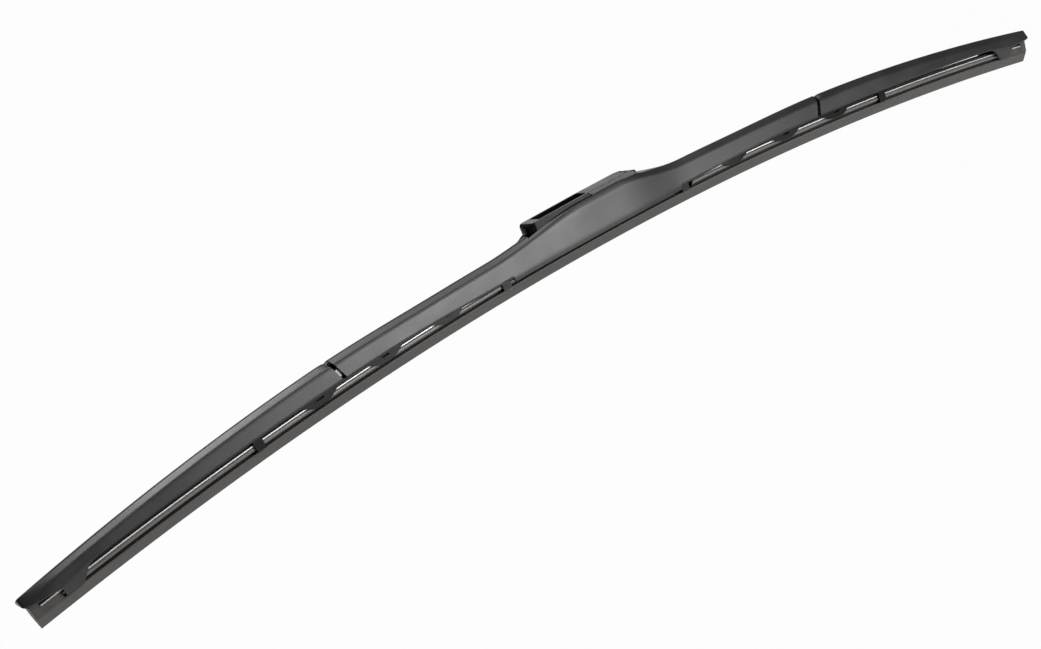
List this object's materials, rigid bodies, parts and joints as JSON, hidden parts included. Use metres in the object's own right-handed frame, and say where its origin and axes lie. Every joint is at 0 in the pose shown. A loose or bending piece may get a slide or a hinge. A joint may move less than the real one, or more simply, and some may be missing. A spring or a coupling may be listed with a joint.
{
  "type": "wiper blade",
  "caption": "Hybrid wiper blade: rubber element on spring strips, hinged levers and yokes under a jointed aerofoil cover, with a hook adapter.",
  "frame": {"origin": "centre of the rivet that the adapter swings on, in the blade's middle plane", "axes": "+X along the blade, +Y across it to the rear side, +Z away from the glass; the rubber edge faces -Z"},
  "size_m": [0.6598, 0.0192, 0.056],
  "materials": {
    "adapter_black": "gloss",
    "cover_plastic": "satin",
    "yoke_plastic": "satin",
    "lever_steel": "satin",
    "pin_steel": "satin",
    "strip_steel": "polished",
    "bush_plastic": "matte",
    "rubber": "matte",
    "clip_plastic": "matte"
  },
  "bodies": {
    "adapter": {"adapter": "adapter_black", "adapter_cap": "cover_plastic", "pivot_bush": "bush_plastic"},
    "frame": {"main_lever": "lever_steel", "centre_cover": "cover_plastic", "pivot_rivet": "pin_steel", "left_joint_pin": "pin_steel", "right_joint_pin": "pin_steel", "left_joint_liner": "bush_plastic", "right_joint_liner": "bush_plastic"},
    "element": {"wiper_rubber": "rubber", "front_strip": "strip_steel", "rear_strip": "strip_steel"},
    "left_arm": {"left_end_cover": "cover_plastic", "left_arm_lever": "lever_steel", "left_yoke_pin": "pin_steel", "left_end_clip": "clip_plastic"},
    "right_arm": {"right_end_cover": "cover_plastic", "right_arm_lever": "lever_steel", "right_yoke_pin": "pin_steel", "right_end_clip": "clip_plastic"},
    "left_yoke": {"left_yoke": "yoke_plastic"},
    "right_yoke": {"right_yoke": "yoke_plastic"}
  },
  "joints": [
    {"name": "adapter_swing", "type": "hinge", "parent": "adapter", "child": "frame", "pos_m": [0, 0, 0], "axis": [0, 1, 0], "range_deg": [-5, 5]},
    {"name": "right_arm_hinge", "type": "hinge", "parent": "frame", "child": "right_arm", "pos_m": [0.1581, 0, -0.0117], "axis": [0, -1, 0], "range_deg": [-0.5, 6], "stiffness_Nm_per_rad": 0.6, "deforming": ["wiper_rubber", "front_strip", "rear_strip"]},
    {"name": "left_arm_hinge", "type": "hinge", "parent": "frame", "child": "left_arm", "pos_m": [-0.1581, 0, -0.0117], "axis": [0, 1, 0], "range_deg": [-0.5, 6], "stiffness_Nm_per_rad": 0.6, "deforming": ["wiper_rubber", "front_strip", "rear_strip"]},
    {"name": "right_yoke_hinge", "type": "hinge", "parent": "right_arm", "child": "right_yoke", "pos_m": [0.13289, 0, -0.01092], "axis": [0, -1, 0], "range_deg": [-2.2, 0.3]},
    {"name": "left_yoke_hinge", "type": "hinge", "parent": "left_arm", "child": "left_yoke", "pos_m": [-0.13289, 0, -0.01092], "axis": [0, 1, 0], "range_deg": [-2.2, 0.3]},
    {"name": "element_sink", "type": "slide", "parent": "frame", "child": "element", "axis": [0, 0, -1], "range_m": [-0.001, 0.008], "deforming": ["wiper_rubber", "front_strip", "rear_strip"]}
  ],
  "couplings": [
    {"joint": "left_arm_hinge", "follows": "right_arm_hinge", "ratio": 1},
    {"joint": "right_yoke_hinge", "follows": "right_arm_hinge", "ratio": -0.346},
    {"joint": "left_yoke_hinge", "follows": "right_arm_hinge", "ratio": -0.346},
    {"joint": "element_sink", "follows": "right_arm_hinge", "m_per_rad": 0.0727}
  ]
}
